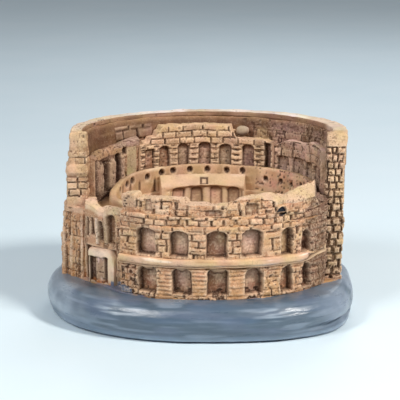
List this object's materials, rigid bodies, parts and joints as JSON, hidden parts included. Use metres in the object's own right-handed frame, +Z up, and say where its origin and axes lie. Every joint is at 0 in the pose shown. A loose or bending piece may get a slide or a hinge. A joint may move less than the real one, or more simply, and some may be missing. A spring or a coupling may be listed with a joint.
{
  "type": "miniature amphitheatre souvenir",
  "caption": "Cast-resin desk miniature of a ruined oval amphitheatre with arched tiers, on a glazed pebble-shaped plinth.",
  "frame": {"origin": "centre of the felt pad's underside, in the middle of the plinth", "axes": "+Z up, +X to the right and -Y towards someone who looks at the low open front"},
  "size_m": [0.0932, 0.0764, 0.0555],
  "materials": {
    "sandstone": "matte painted resin in sandstone orange-beige, dark brown wash in the joints, pale dry-brushed edges",
    "cream": "matte painted resin in pale cream beige with a thin brown wash",
    "umber": "matte painted resin in purple-brown umber",
    "glaze": "glossy blue-grey enamel brushed on in streaks over cast resin",
    "felt": "dark wool felt"
  },
  "bodies": {
    "root": {"felt_pad": "felt", "plinth": "glaze", "foundation_slab": "cream", "core_block": "umber", "arena_floor": "sandstone", "arena_bowl": "cream", "arena_arcade": "cream", "lower_arcade": "sandstone", "string_course": "cream", "upper_arcade": "sandstone", "brick_band": "sandstone", "ruined_parapet": "sandstone", "outer_wall_first_storey": "sandstone", "outer_wall_second_storey": "sandstone", "outer_wall_third_storey": "sandstone", "outer_wall_attic": "sandstone", "wall_coping": "cream", "rear_gallery": "sandstone", "left_colonnade": "umber", "right_gallery": "umber", "fallen_stone": "cream", "left_pier_lower": "sandstone", "left_pier_upper": "sandstone", "right_quoin": "sandstone", "left_terrace": "sandstone", "side_porch": "cream"}
  },
  "joints": []
}
